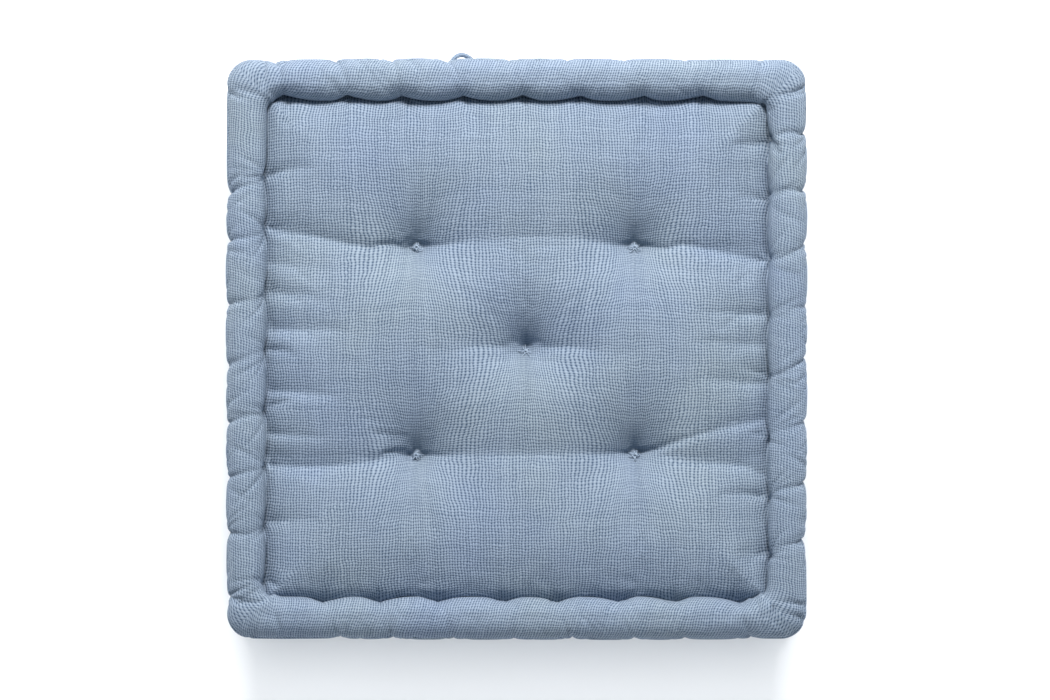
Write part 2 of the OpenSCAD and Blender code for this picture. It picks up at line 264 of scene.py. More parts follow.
# Valleys in the stuffed field, in mm: points along each, and its depths and widths at both ends.
CENTRE, BACK_LEFT, BACK_RIGHT = (8, 2), (-79, 79), (92, 80)  # where they meet at the tufts
FRONT_LEFT, FRONT_RIGHT = (-79, -84), (93, -82)
VALLEYS = (
    ([(-197, 94), (-160, 88), (-109, 77), BACK_LEFT], (5, 8), (7, 11)),
    ([BACK_LEFT, (-35, 84), (10, 88), (50, 86), BACK_RIGHT], (6, 6), (14, 14)),
    ([BACK_RIGHT, (142, 79), (197, 67)], (8, 6), (11, 7)),
    ([(-197, 67), (-160, 64), (-125, 56)], (4, 0), (6, 9)),
    ([(-197, 43), (-160, 42), (-122, 35)], (4, 0), (6, 9)),
    ([(-197, 15), (-144, 15), (-95, 7)], (6, 0), (6, 10)),
    ([(-197, -32), (-144, -36), (-120, -45)], (5, 0), (6, 9)),
    ([(-197, -66), (-150, -69), (-128, -66)], (4, 0), (5, 8)),
    ([(-197, -91), (-152, -92), FRONT_LEFT], (6, 8), (6, 10)),
    ([(-197, -135), (-165, -132), (-140, -134)], (3, 0), (5, 7)),
    ([FRONT_LEFT, (5, -80), FRONT_RIGHT], (5, 5), (16, 16)),
    ([FRONT_RIGHT, (142, -66), (197, -54)], (7, 3), (10, 6)),
    ([FRONT_RIGHT, (126, -87), (177, -91), (197, -100)], (6, 5), (9, 6)),
    ([(197, 26), (150, 29), (118, 36)], (4, 0), (5, 9)),
    ([(197, 2), (150, 6), (120, 4)], (3, 0), (5, 8)),
    ([(197, -28), (150, -23), (118, -18)], (4, 0), (5, 9)),
    ([CENTRE, (-20, 2), (-56, -2)], (17, 1), (9, 8)),
    ([CENTRE, (40, 1), (74, -3)], (17, 1), (9, 8)),
    ([BACK_LEFT, (-104, 78), (-120, 79)], (14, 2), (9, 7)),
    ([BACK_LEFT, (-56, 81), (-34, 84)], (14, 2), (9, 8)),
    ([BACK_RIGHT, (68, 82), (44, 86)], (14, 2), (9, 8)),
    ([BACK_RIGHT, (116, 79), (132, 79)], (14, 2), (9, 7)),
    ([FRONT_LEFT, (-104, -87), (-122, -90)], (14, 2), (9, 7)),
    ([FRONT_LEFT, (-56, -83), (-34, -82)], (14, 2), (9, 8)),
    ([FRONT_RIGHT, (68, -82), (44, -81)], (14, 2), (9, 8)),
    ([FRONT_RIGHT, (112, -78), (128, -72)], (14, 3), (9, 7)),
    ([BACK_LEFT, (-80, 120), (-82, 194)], (7, 3), (12, 14)),
    ([BACK_RIGHT, (94, 120), (98, 194)], (7, 3), (12, 14)),
    ([CENTRE, (7, 45), (6, 84)], (7, 1), (12, 12)),
    ([FRONT_LEFT, (-79, -40), (-80, 20)], (7, 0), (12, 14)),
    ([FRONT_RIGHT, (93, -40), (94, 20)], (7, 0), (12, 14)),
    ([FRONT_LEFT, (-80, -140), (-80, -194)], (4, 2), (13, 13)),
    ([FRONT_RIGHT, (95, -140), (98, -194)], (4, 2), (13, 13)),
    ([CENTRE, (8, -40), (6, -76)], (4, 1), (13, 13)),
)


def pucker_list():
    """Short puckers that run from the stitches into the field, listed as the valleys are."""
    found = []
    for side, along, pull in STITCH_LIST:
        out, ahead = side_axes(side)
        start = (out * GROOVE_X + ahead * along) / MM
        inner = start - out * rng.uniform(16, 34) + ahead * rng.uniform(-9, 9)
        found.append(([tuple(start), tuple(inner)], (4.5 * pull, 0), (3.5, 4.5)))
    return found


PUCKERS = pucker_list()


def line_valley(x, y, points, depths, widths):
    """Depth of a valley along a broken line, wider on the side that lies further back."""
    best = np.full(x.shape, 1e9)
    share, back = np.zeros(x.shape), np.zeros(x.shape)
    for k, (start, end) in enumerate(zip(points, points[1:])):
        start = np.array(start) * MM
        step = np.array(end) * MM - start
        t = np.clip(((x - start[0]) * step[0] + (y - start[1]) * step[1]) / (step @ step), 0, 1)
        off_y = y - start[1] - t * step[1]
        away = np.hypot(x - start[0] - t * step[0], off_y)
        share = np.where(away < best, (k + t) / (len(points) - 1), share)
        back = np.where(away < best, off_y / np.maximum(away, 1e-9), back)
        best = np.minimum(best, away)
    depth = (depths[0] + (depths[1] - depths[0]) * share) * MM
    width = (widths[0] + (widths[1] - widths[0]) * share) * MM * (1 + 0.35 * back)
    return depth * np.exp(-np.sqrt((best / width) ** 2 + 0.03) + 0.17)


def tuft_hollow(x, y, tx, ty):
    """Depth of the hollow round a tuft: a long slope behind it, a short one in front."""
    reach = np.where(y > ty, HOLLOW_BEHIND, HOLLOW_FRONT)
    return HOLLOW * np.exp(-np.hypot((x - tx) / HOLLOW_HALF, (y - ty) / reach) ** 1.2)


def field_height(x, y):
    """Height of the stuffed field between the top rolls, drawn down by tufts and valleys."""
    edge = np.clip(GROOVE_X - np.maximum(np.abs(x), np.abs(y)), 0, None)
    crown = sum(rise * (1 - np.exp(-edge / run)) for rise, run in CROWN)
    for row in TUFT_ROWS:
        crown -= ROW_DIP * np.exp(-np.abs(y - row) / ROW_REACH)
    drop = np.zeros(x.shape)
    for points, depths, widths in (*VALLEYS, *PUCKERS):
        drop = np.hypot(drop, line_valley(x, y, points, depths, widths))
    for tx, ty, _, _ in TUFT_POINTS.values():
        drop = np.hypot(drop, tuft_hollow(x, y, tx, ty))
    return TOP_Z + ROLL_R * math.sin(GROOVE_ANGLE) + crown - drop * np.clip(edge / (6 * MM), 0.2, 1)


def base_height(x, y):
    """Height of the underside between the bottom rolls: flat, with a groove and the tufts."""
    edge = np.clip(GROOVE_X - np.maximum(np.abs(x), np.abs(y)), 0, None)
    height = 6 * MM * np.exp(-edge / (5 * MM))
    for tx, ty, _, _ in TUFT_POINTS.values():
        height = np.maximum(height, 19 * MM * np.exp(-np.hypot(x - tx, y - ty) / (12 * MM)))
    return height


def gathered(x, y):
    """Places of the field's cloth once the tufts have gathered it towards them."""
    for tx, ty, _, _ in TUFT_POINTS.values():
        draw = TUFT_DRAW * np.exp(-np.hypot((x - tx) / (22 * MM), (y - ty) / (32 * MM)))
        x, y = x - (x - tx) * draw, y - (y - ty) * draw * 0.6
    return x, y


def sheet_form(top, cells):
    """Start form of a panel's grid, from its middle over the roll to the seam."""
    steps = np.linspace(-1, 1, cells + 1)
    a, b = np.meshgrid(steps, steps, indexing="ij")
    reach = np.maximum(np.abs(a), np.abs(b))
    side = np.where(np.abs(a) >= np.abs(b), np.where(a > 0, 1, 3), np.where(b > 0, 2, 0))
    along = np.choose(side, [a, b, -a, -b])
    s = np.clip(along / np.maximum(reach, 1e-9), -1, 1)
    cut = reach * PANEL_CUT
    on_roll = cut > FIELD_CUT
    angle = np.where(on_roll, GROOVE_ANGLE - (cut - FIELD_CUT) / ROLL_R, GROOVE_ANGLE)
    s = np.where(on_roll, leaning(s, HALF, angle), s)
    inward = np.clip(cut / FIELD_CUT, 0, 1)
    half = np.where(on_roll, ROLL_X + ROLL_R * np.cos(angle), inward * GROOVE_X)
    over = np.clip((cut - FIELD_CUT) / (ROLL_R * math.radians(110)), 0, 1)
    corner = np.where(on_roll, GROOVE_CORNER + (CORNER_R - GROOVE_CORNER) * over,
                      GROOVE_CORNER * inward ** 10)
    _, _, place = plan(half, corner, side, s)
    radius = roll_radius(side, place, angle)
    groove = ROLL_X + radius * math.cos(GROOVE_ANGLE) - GROOVE_X
    half = np.where(on_roll, ROLL_X + radius * np.cos(angle), half + groove * inward ** 12)
    x, y, _ = plan(half, corner, side, s)
    gx, gy = gathered(x, y)
    x, y = np.where(on_roll, x, gx), np.where(on_roll, y, gy)
    groove = GROOVE_CUT * np.exp(-np.abs(cut - FIELD_CUT) / (2.2 * MM))
    if top:
        z = np.where(on_roll, TOP_Z + radius * np.sin(angle), field_height(x, y)) - groove
    else:
        z = np.where(on_roll, np.maximum(BOTTOM_Z - radius * np.sin(angle), 0), base_height(x, y))
    form = np.stack([x, y, z], -1).reshape(-1, 3)
    height = BAND_CUT if top else 0.0
    flat = np.stack([a * PANEL_CUT, b * PANEL_CUT, np.full(a.shape, height)], -1).reshape(-1, 3)
    return form, flat


def calm(x, y, z):
    """How freely the cloth swells: hardly at all on the band where the handle lies on it."""
    beside = np.clip((np.abs(x) - 68 * MM) / (45 * MM), 0, 1)
    above = np.clip((np.abs(z - HINGE[2]) - 24 * MM) / (8 * MM), 0, 1)
    return np.where(y > 0.2, np.maximum(np.maximum(beside, above), 0.06), 1)


def band_form(down, side, s):
    """Start form of the band's grid points that far down from the top seam."""
    if down < ROLL_DROP:
        angle, centre, up = SEAM_ANGLE - down / ROLL_R, TOP_Z, 1
    elif down > BAND_CUT - ROLL_DROP:
        angle, centre, up = SEAM_ANGLE - (BAND_CUT - down) / ROLL_R, BOTTOM_Z, -1
    else:
        share = (down - ROLL_DROP) / (WALL_HIGH - WALL_LOW)
        z = np.full(s.shape, WALL_HIGH + (WALL_LOW - WALL_HIGH) * share)
        s = leaning(s, WALL_X, -TUCK_ANGLE)
        x, y, _ = plan(np.full(s.shape, WALL_X), WALL_CORNER, side, s)
        bulge = WALL_BULGE * math.sin(math.pi * share) * calm(x, y, z)
        x, y, _ = plan(WALL_X + bulge, WALL_CORNER + bulge, side, s)
        return np.stack([x, y, z], -1)
    s = leaning(s, HALF, angle)
    _, _, place = plan(np.full(s.shape, ROLL_X + ROLL_R * math.cos(angle)), CORNER_R, side, s)
    radius = roll_radius(side, place, angle)
    x, y, _ = plan(ROLL_X + radius * math.cos(angle), CORNER_R, side, s)
    z = np.maximum(centre + up * radius * math.sin(angle), 0)
    return np.stack([x, y, z], -1)


class Skin:
    """The closed grid of cloth: start form, form as cut, faces, and which piece each is of."""

    def __init__(self, share):
        self.cells = CELLS // share
        self.down = ROWS // share
        n = self.cells + 1
        top, top_flat = sheet_form(True, self.cells)
        low, low_flat = sheet_form(False, self.cells)
        steps = range(self.cells)
        self.loop = np.array([i * n for i in steps] + [self.cells * n + j for j in steps]
                             + [(self.cells - i) * n + self.cells for i in steps]
                             + [self.cells - j for j in steps])
        around = 4 * self.cells
        edge = np.arange(around)
        side, s = edge // self.cells, 2 * (edge % self.cells) / self.cells - 1
        band, band_flat = [], []
        for row in range(1, self.down):
            band.append(band_form(row * BAND_CUT / self.down, side, s))
            flat = top_flat[self.loop].copy()
            flat[:, 2] = BAND_CUT * (1 - row / self.down)
            band_flat.append(flat)
        self.form = np.concatenate([top] + band + [low])
        self.flat = np.concatenate([top_flat] + band_flat + [low_flat])
        self.low_start = n * n + (self.down - 1) * around
        self.rows = ([self.loop] + [n * n + k * around + edge for k in range(self.down - 1)]
                     + [self.low_start + self.loop])
        self.top = np.arange(n * n)
        self.low = self.low_start + self.top
        self.faces, self.weave, self.piece = [], [], []
        self._add_sheet(0, False)
        self._add_band()
        self._add_sheet(self.low_start, True)

    def _add_sheet(self, start, flip):
        n = self.cells + 1
        weave = weave_place(self.flat[start:start + n * n, :2])
        for i in range(self.cells):
            for j in range(self.cells):
                face = [i * n + j, (i + 1) * n + j, (i + 1) * n + j + 1, i * n + j + 1]
                if flip:
                    face.reverse()
                self.faces.append([start + k for k in face])
                self.weave.append([weave[k] for k in face])
                self.piece.append(2 if flip else 0)

    def _add_band(self):
        around = 4 * self.cells
        across = 2 * PANEL_CUT / self.cells
        down = BAND_CUT / self.down
        for row in range(self.down):
            upper, lower = self.rows[row], self.rows[row + 1]
            for k in range(around):
                after = (k + 1) % around
                self.faces.append([upper[k], lower[k], lower[after], upper[after]])
                places = ((k, row), (k, row + 1), (k + 1, row + 1), (k + 1, row))
                self.weave.append([(i * across - j * down * BIAS, -j * down) for i, j in places])
                self.piece.append(1)


def weave_place(flat):
    """Where the weave lies on a panel's cloth: closer at the tufts, and slanting on the rolls."""
    x, y = flat[:, 0].copy(), flat[:, 1].copy()
    scale = FIELD_CUT / GROOVE_X
    for tx, ty, _, _ in TUFT_POINTS.values():
        dx, dy = flat[:, 0] - tx * scale, flat[:, 1] - ty * scale
        closer = WEAVE_DRAW * np.exp(-(dx / (30 * MM)) ** 2 - (dy / (42 * MM)) ** 2)
        x, y = x + dx * closer, y + dy * closer * 0.25
    far, near = np.maximum(np.abs(x), np.abs(y)), np.minimum(np.abs(x), np.abs(y))
    over = np.clip(far - FIELD_CUT, 0, None) * BIAS * (1 - (near / np.maximum(far, 1e-9)) ** 6)
    along_x = np.abs(y) > np.abs(x)
    u = np.where(along_x, x - over * np.sign(y), x)
    return list(zip(u, np.where(along_x, y, y + over * np.sign(x))))


# ------------ cloth simulation
def nearest(points, place, count=1):
    """Indices of the points nearest to a place."""
    return np.argsort(np.linalg.norm(points - np.array(place), axis=1))[:count]


def hold_stitch(skin, held, side, along, ends):
    """Holds the cloth where one stitch goes through the top or the bottom roll."""
    sheet, groove_z, row, tuck_z = ends
    out, ahead = side_axes(side)
    cut = out * FIELD_CUT + ahead * along * FIELD_CUT / GROOVE_X
    inner = sheet[nearest(skin.flat[sheet][:, :2], cut)[0]]
    held[inner] = [*(out * (GROOVE_X + 1 * MM) + ahead * along), groove_z]
    cut = out * PANEL_CUT + ahead * (along + STITCH_LEAN) * PANEL_CUT / WALL_X
    outer = skin.rows[row][nearest(skin.flat[skin.rows[row]][:, :2], cut)[0]]
    held[outer] = [*(out * (WALL_X - 1 * MM) + ahead * (along + STITCH_LEAN)), tuck_z]
    return inner, outer


def held_points(skin):
    """Every point of the cloth that a stitch or a tuft holds, and where it holds it."""
    held = {}
    tuck = round((ROLL_DROP + 2.9 * MM) / BAND_CUT * skin.down)
    top_ends = (skin.top, TOP_Z - 7 * MM, tuck, WALL_HIGH - 2.9 * MM)
    low_ends = (skin.low, BOTTOM_Z - 5 * MM, skin.down - tuck, WALL_LOW + 2.9 * MM)
    stitched = {"top": [], "bottom": []}
    for side, along, _ in STITCH_LIST:
        stitched["top"].append(hold_stitch(skin, held, side, along, top_ends))
        stitched["bottom"].append(hold_stitch(skin, held, side, along, low_ends))
    for x, y, low, high in TUFT_POINTS.values():
        for sheet, z in ((skin.top, high - KNOT_RISE), (skin.low, low + KNOT_HEIGHT)):
            scale = FIELD_CUT / GROOVE_X
            for k in sheet[nearest(skin.flat[sheet][:, :2], (x * scale, y * scale), 4)]:
                off = skin.flat[k][:2] - np.array([x, y]) * scale
                held[k] = [*(np.array([x, y]) + off * 0.5), z]
    return held, stitched


def drawn_in(skin, held):
    """Start form with the cloth round each held point drawn along with it."""
    form = skin.form.copy()
    for k, place in held.items():
        away = np.linalg.norm(skin.flat - skin.flat[k], axis=1)
        near = np.flatnonzero(away < 12 * MM)
        pull = np.exp(-(away[near] / (4 * MM)) ** 2)
        form[near] += pull[:, None] * (np.array(place) - form[k])
    for k, place in held.items():
        form[k] = place
    return form


def broad_part(skin, moved, held):
    """Broad part of a movement: its average over the neighbours, taken many times over."""
    faces = np.array(skin.faces)
    start, end = faces.ravel(), np.roll(faces, -1, 1).ravel()
    count = np.bincount(start, minlength=len(moved)) + np.bincount(end, minlength=len(moved))
    fixed = np.array(sorted(held))
    broad = moved.copy()
    for _ in range(BROAD_ROUNDS):
        for k in range(3):
            value = broad[:, k].copy()
            total = np.bincount(start, value[end], len(moved)) + np.bincount(end, value[start], len(moved))
            broad[:, k] = total / count
        broad[fixed] = 0
    return broad


def between(grid, axis):
    """A grid of values with their means put in between along one axis."""
    grid = np.moveaxis(grid, axis, 0)
    fine = np.empty((2 * len(grid) - 1, *grid.shape[1:]))
    fine[::2] = grid
    fine[1::2] = (grid[1:] + grid[:-1]) / 2
    return np.moveaxis(fine, 0, axis)


def refined(values, coarse, fine):
    """Values at the fine skin's points, from those at the coarse one's."""
    found = np.zeros((len(fine.form), 3))
    n = coarse.cells + 1
    for near, far in ((coarse.top, fine.top), (coarse.low, fine.low)):
        found[far] = between(between(values[near].reshape(n, n, 3), 0), 1).reshape(-1, 3)
    loops = between(np.stack([values[loop] for loop in coarse.rows]), 0)
    loops = between(np.concatenate([loops, loops[:, :1]], 1), 1)[:, :-1]
    for k, loop in enumerate(fine.rows):
        found[loop] = loops[k]
    return found


def settle(skin, start, held):
    """Cloth simulation from the start form: the filling's pressure swells the cloth against the
    stitches and tufts, and its surplus puckers. Returns where every point comes to rest."""
    mesh = bpy.data.meshes.new("skin")
    mesh.from_pydata(start.tolist(), [], skin.faces)
    cloth = bpy.data.objects.new("skin", mesh)
    scene.collection.objects.link(cloth)
    cloth.shape_key_add(name="Basis")
    rest = cloth.shape_key_add(name="as_cut")
    rest.data.foreach_set("co", skin.flat.astype(np.float32).ravel())
    rest.value = 0
    group = cloth.vertex_groups.new(name="held")
    resting = skin.low[start[skin.low][:, 2] < 4 * MM]
    group.add([int(k) for k in resting], 1.0, "REPLACE")
    group.add([int(k) for k in held], 1.0, "REPLACE")
    modifier = cloth.modifiers.new("cloth", "CLOTH")
    modifier.point_cache.frame_start = 1
    modifier.point_cache.frame_end = SIM_FRAMES
    modifier.collision_settings.use_collision = False
    fabric = modifier.settings
    fabric.rest_shape_key = rest
    fabric.vertex_group_mass = "held"
    fabric.effector_weights.gravity = 0
    fabric.use_pressure = True
    fabric.uniform_pressure_force = PRESSURE
    fabric.bending_model = "ANGULAR"
    for name, value in FABRIC.items():
        setattr(fabric, name, value)
    for k in range(1, SIM_FRAMES + 1):
        scene.frame_set(k)
    shape = cloth.evaluated_get(bpy.context.evaluated_depsgraph_get()).data
    settled = np.empty(len(start) * 3, np.float32)
    shape.vertices.foreach_get("co", settled)
    scene.frame_set(1)
    bpy.data.objects.remove(cloth)
    bpy.data.meshes.remove(mesh)
    return settled.reshape(-1, 3).astype(float)


def cloth_form(skin):
    """Final form of the skin, and the points that its stitches hold."""
    held, stitched = held_points(skin)
    final = drawn_in(skin, held)
    coarse = Skin(SIM_SHARE)
    coarse_held, _ = held_points(coarse)
    start = drawn_in(coarse, coarse_held)
    moved = settle(coarse, start, coarse_held) - start
    moved -= (1 - BROAD_KEPT) * broad_part(coarse, moved, coarse_held)
    size = np.linalg.norm(moved, axis=1, keepdims=True)
    moved *= np.minimum(1, MOST_MOVE / np.maximum(size, 1e-9))
    final += refined(moved, coarse, skin) * calm(*final.T)[:, None]
    final[:, 2] = np.maximum(final[:, 2], LOWEST)
    return final, stitched


# ------------ mesh helpers
def mesh_object(name, points, faces, uvs=None, material=None):
    """Smooth-shaded mesh object; uvs holds one place for each corner of each face, in metres."""
    mesh = bpy.data.meshes.new(name)
    mesh.from_pydata([tuple(p) for p in points], [], [tuple(int(k) for k in f) for f in faces])
    mesh.polygons.foreach_set("use_smooth", np.ones(len(mesh.polygons), bool))
    if uvs is not None:
        layer = mesh.uv_layers.new(name="weave")
        layer.data.foreach_set("uv", np.array([p for face in uvs for p in face], np.float32).ravel())
    mesh.update()
    if material:
        mesh.materials.append(material)
    made = bpy.data.objects.new(name, mesh)
    scene.collection.objects.link(made)
    return made


def run_along(path):
    """Distance along a path, at each of its points."""
    return np.concatenate([[0], np.cumsum(np.linalg.norm(np.diff(path, axis=0), axis=1))])


class Tubes:
    """Tubes gathered into one mesh, each round or of two twisted plies."""

    def __init__(self):
        self.points, self.faces, self.uvs = [], [], []

    def add(self, path, radius, sides=10, plies=0, twist=0.0, closed=False, taper=0.0):
        """One tube along a path. plies and twist (turns per metre) shape it as a twisted thread."""
        path = np.array(path, float)
        count = len(path)
        if closed:
            ahead = np.roll(path, -1, 0) - np.roll(path, 1, 0)
        else:
            ahead = np.gradient(path, axis=0)
        ahead /= np.maximum(np.linalg.norm(ahead, axis=1, keepdims=True), 1e-12)
        run = run_along(path)
        across = np.cross(ahead[0], [0.3, 0.2, 1.0])
        start = len(self.points)
        for i in range(count):
            across = across - ahead[i] * (across @ ahead[i])
            across /= np.linalg.norm(across)
            up = np.cross(ahead[i], across)
            share = min(1.0, i / 2, (count - 1 - i) / 2) if taper and not closed else 1.0
            size = radius * (1 - taper * (1 - share))
            for k in range(sides):
                angle = 2 * math.pi * k / sides
                lobes = math.cos(plies * (angle - 2 * math.pi * twist * run[i])) if plies else 0
                r = size * (1 + 0.16 * lobes)
                self.points.append(path[i] + r * (math.cos(angle) * across + math.sin(angle) * up))
        rings = count if closed else count - 1
        girth = 2 * math.pi * radius
        for i in range(rings):
            j = (i + 1) % count
            for k in range(sides):
                m = (k + 1) % sides
                self.faces.append([start + i * sides + k, start + i * sides + m,
                                   start + j * sides + m, start + j * sides + k])
                u0, u1 = girth * k / sides, girth * (k + 1) / sides
                v1 = run[i + 1] if i + 1 < count else run[i]
                self.uvs.append([(u0, run[i]), (u1, run[i]), (u1, v1), (u0, v1)])
        if not closed:
            for ring, flip in ((0, True), (count - 1, False)):
                face = [start + ring * sides + k for k in range(sides)]
                self.faces.append(face[::-1] if flip else face)
                self.uvs.append([(0, run[ring])] * sides)

    def build(self, name, material):
        """The mesh object of all the tubes."""
        return mesh_object(name, self.points, self.faces, self.uvs, material)


def smooth_line(points, step):
    """Points every step along a smooth curve through the given ones."""
    points = np.array(points, float)
    padded = np.concatenate([[2 * points[0] - points[1]], points, [2 * points[-1] - points[-2]]])
    fine = []
    for a, b, c, d in zip(padded, padded[1:], padded[2:], padded[3:]):
        for t in np.linspace(0, 1, 12, endpoint=False):
            fine.append(0.5 * (2 * b + (c - a) * t + (2 * a - 5 * b + 4 * c - d) * t ** 2
                               + (3 * b - a - 3 * c + d) * t ** 3))
    fine = np.array(fine + [points[-1]])
    run = run_along(fine)
    places = np.linspace(0, run[-1], max(2, round(run[-1] / step)) + 1)
    return np.stack([np.interp(places, run, fine[:, k]) for k in range(3)], -1)


# ------------ materials
class Nodes:
    """Short ways to build one material's node tree."""

    def __init__(self, name):
        self.material = bpy.data.materials.new(name)
        self.material.use_nodes = True
        self.tree = self.material.node_tree
        self.shader = self.tree.nodes["Principled BSDF"]

    def link(self, value, socket):
        """Feeds a socket from another socket, or sets it to a constant."""
        if isinstance(value, bpy.types.NodeSocket):
            self.tree.links.new(value, socket)
        else:
            socket.default_value = value

    def node(self, kind, inputs, **settings):
        """The outputs of a new node, whose inputs are given by name or number."""
        node = self.tree.nodes.new("ShaderNode" + kind)
        for name, value in settings.items():
            setattr(node, name, value)
        for socket, value in inputs.items():
            self.link(value, node.inputs[socket])
        return node.outputs

    def math(self, operation, a, b=0.0, clamp=False):
        return self.node("Math", {0: a, 1: b}, operation=operation, use_clamp=clamp)[0]

    def plus(self, a, b, clamp=False):
        return self.math("ADD", a, b, clamp)

    def minus(self, a, b, clamp=False):
        return self.math("SUBTRACT", a, b, clamp)

    def times(self, a, b):
        return self.math("MULTIPLY", a, b)

    def weave(self):
        """The cloth's own coordinates, in metres: as one vector, and its two parts."""
        place = self.node("UVMap", {}, uv_map="weave")[0]
        parts = self.node("SeparateXYZ", {0: place})
        return place, parts[0], parts[1]

    def vector(self, x, y, z=0.0):
        return self.node("CombineXYZ", {0: x, 1: y, 2: z})[0]

    def noise(self, place, scale, detail=2.0):
        return self.node("TexNoise", {"Vector": place, "Scale": scale, "Detail": detail})["Fac"]

    def white(self, place):
        return self.node("TexWhiteNoise", {"Vector": place}, noise_dimensions="2D")["Value"]

    def ramp(self, factor, stops):
        node = self.tree.nodes.new("ShaderNodeValToRGB")
        self.link(factor, node.inputs[0])
        for k, (place, colour) in enumerate(stops):
            stop = node.color_ramp.elements[k] if k < 2 else node.color_ramp.elements.new(place)
            stop.position = place
            stop.color = (*colour, 1)
        return node.outputs[0]

    def multiply(self, a, b):
        """Two colours multiplied."""
        return self.node("Mix", {0: 1.0, 6: a, 7: b}, data_type="RGBA", blend_type="MULTIPLY")[2]

    def bump(self, height, distance, strength, under=None):
        inputs = {"Height": height, "Distance": distance, "Strength": strength}
        if under is not None:
            inputs["Normal"] = under
        return self.node("Bump", inputs)[0]

    def finish(self, colour, normal, roughness, sheen, sheen_tint):
        """The material, with its shader fed."""
        values = {"Base Color": colour, "Normal": normal, "Roughness": roughness,
                  "Sheen Weight": sheen, "Sheen Roughness": 0.5, "Sheen Tint": (*sheen_tint, 1),
                  "Specular IOR Level": 0.15}
        for name, value in values.items():
            self.link(value, self.shader.inputs[name])
        return self.material


def linear(red, green, blue):
    """Linear colour of an 8-bit display colour."""
    return tuple(((c / 255 + 0.055) / 1.055) ** 2.4 if c > 10 else c / 255 / 12.92
                 for c in (red, green, blue))


def woven_material(name, pitch, faded, deep):
    """Plain weave of slubby cotton: yarns over and under each other, with painted shade in the gaps where
    four corners meet and down each yarn's sides.
    """
    n = Nodes(name)
    place, u, v = n.weave()
    # The yarns wander a little from a perfect grid.
    wander = n.times(n.minus(n.noise(place, 60.0), 0.5), 1.8)
    drift = n.times(n.minus(n.noise(place, 90.0), 0.5), 1.8)
    p = n.plus(n.times(u, 1 / pitch), wander)
    q = n.plus(n.times(v, 1 / pitch), drift)
    warp, weft = n.math("FLOOR", p), n.math("FLOOR", q)
    off_warp = n.math("ABSOLUTE", n.minus(n.math("FRACT", p), 0.5))
    off_weft = n.math("ABSOLUTE", n.minus(n.math("FRACT", q), 0.5))
    weft_up = n.math("PINGPONG", n.plus(warp, weft), 1.0)
    warp_up = n.minus(1.0, weft_up)

    def upper(of_weft, of_warp):
        """The value of the yarn that is on top here."""
        return n.plus(n.times(of_weft, weft_up), n.times(of_warp, warp_up))

    # Round across the yarn that is on top, and a long arch along it.
    across, along = upper(off_weft, off_warp), upper(off_warp, off_weft)
    round_off = n.times(n.times(across, across), 3.4)
    arch_off = n.times(n.times(along, along), 1.9)
    height = n.minus(n.minus(1.0, round_off), arch_off, clamp=True)
    # Thick and thin stretches of each yarn, and yarns of slightly different shade.
    slub = upper(n.noise(n.vector(n.times(u, 25.0), weft), 1.0),
                 n.noise(n.vector(n.times(v, 25.0), warp, 7.3), 1.0))
    shade = upper(n.white(n.vector(weft, 3.0)), n.white(n.vector(warp, 11.0)))
    # Painted shade: the colour darkens in the gaps where the yarns cross, as if shade fell into them.
    gap = n.math("POWER", n.times(off_warp, 2.0), 1.5)
    hole_shade = n.times(gap, n.plus(n.times(off_weft, 1.5), 0.25))
    tone = n.minus(0.42, n.times(hole_shade, 0.84))
    # height paints each yarn's crown lighter than its sides (painted shade); slub and shade are the yarns'
    # own tones.
    for value, share in ((height, 0.16), (slub, 0.46), (shade, 0.12)):
        tone = n.plus(tone, n.times(value, share))
    tone = n.plus(tone, n.times(n.noise(place, 3800.0), 0.10), clamp=True)
    middle = tuple((a + b) / 2 for a, b in zip(faded, deep))
    colour = n.ramp(tone, [(0.12, deep), (0.9, faded), (0.5, middle)])
    worn = n.ramp(n.noise(place, 9.0, 3.0), [(0.32, (0.9, 0.92, 0.98)), (0.68, (1.0, 1.0, 0.95))])
    colour = n.multiply(colour, worn)
    crumple = n.bump(n.noise(place, 70.0, 3.0), 0.0012, 0.5)
    normal = n.bump(n.plus(height, n.times(slub, 0.5)), pitch * 0.16, 0.9, crumple)
    return n.finish(colour, normal, 0.92, sheen=0.12, sheen_tint=faded)


def thread_material(name, light, dark):
    """Twisted cotton thread: slanting plies with painted shade in the grooves between them, and a tone
    that varies along it.
    """
    n = Nodes(name)
    place, u, v = n.weave()
    slant = n.plus(n.times(u, 1600.0), n.times(v, 900.0))
    ply = n.math("ABSOLUTE", n.math("SINE", slant))
    # Painted shade: the tone darkens in the grooves between the plies.
    tone = n.plus(n.times(ply, 0.6), n.times(n.noise(place, 900.0), 0.4), clamp=True)
    colour = n.ramp(tone, [(0.1, dark), (0.8, light)])
    return n.finish(colour, n.bump(ply, 0.0002, 0.7), 0.8, sheen=0.1, sheen_tint=light)


CLOTH = woven_material("woven_cotton", WEAVE_PITCH, linear(162, 175, 191), linear(60, 82, 107))
THREAD = thread_material("stitching_thread", linear(140, 160, 182), linear(84, 105, 130))
TUFT_THREAD = thread_material("tuft_thread", linear(176, 190, 205), linear(96, 115, 138))
CORD_CLOTH = woven_material("cord_cloth", 1.5 * MM, linear(164, 178, 194), linear(70, 92, 117))


# ------------ the cushion's pieces
def point_normals(points, faces):
    """Outward normal of the skin at each point."""
    faces = np.array(faces)
    across = points[faces[:, 2]] - points[faces[:, 0]]
    down = points[faces[:, 3]] - points[faces[:, 1]]
    normals = np.zeros_like(points)
    turned = np.cross(across, down)
    for k in range(4):
        np.add.at(normals, faces[:, k], turned)
    return normals / np.maximum(np.linalg.norm(normals, axis=1, keepdims=True), 1e-12)


